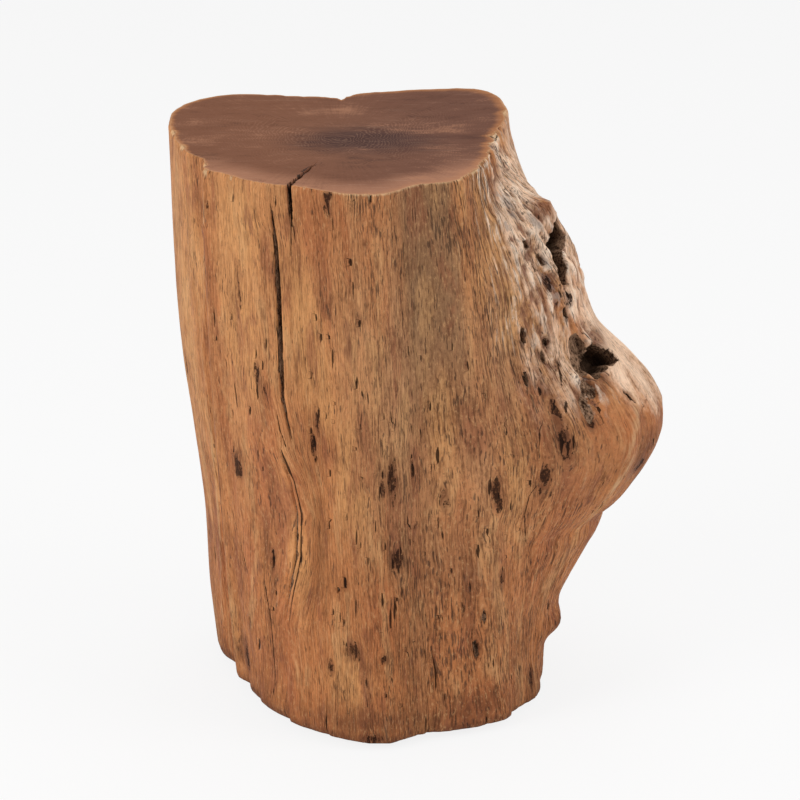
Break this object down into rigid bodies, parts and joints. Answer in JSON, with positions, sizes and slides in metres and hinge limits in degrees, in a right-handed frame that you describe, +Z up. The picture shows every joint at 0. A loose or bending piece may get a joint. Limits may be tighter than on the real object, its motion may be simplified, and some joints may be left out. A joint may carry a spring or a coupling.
{
  "type": "wooden stool",
  "caption": "Low solid stool cut from one length of a fluted, burled tree trunk, with a flat sawn seat and foot and nail-on felt floor glides.",
  "frame": {"origin": "on the floor, under the middle of the overall box", "axes": "+Z up, +X towards the burl's side, -Y towards the front with the long drying checks"},
  "size_m": [0.3789, 0.2374, 0.4565],
  "materials": {
    "log_wood": "barked and hand-smoothed trunk wood under a thin satin oil, sawn seat a darker red-brown",
    "glide_nylon": "moulded brown nylon",
    "glide_felt": "dense brown needle felt",
    "nail_steel": "zinc-plated steel"
  },
  "bodies": {
    "root": {"trunk": "log_wood", "glide_base_back_right": "glide_nylon", "glide_base_back_left": "glide_nylon", "glide_base_front_left": "glide_nylon", "glide_base_front_right": "glide_nylon", "glide_felt_back_right": "glide_felt", "glide_felt_back_left": "glide_felt", "glide_felt_front_left": "glide_felt", "glide_felt_front_right": "glide_felt", "glide_nails": "nail_steel"}
  },
  "joints": []
}
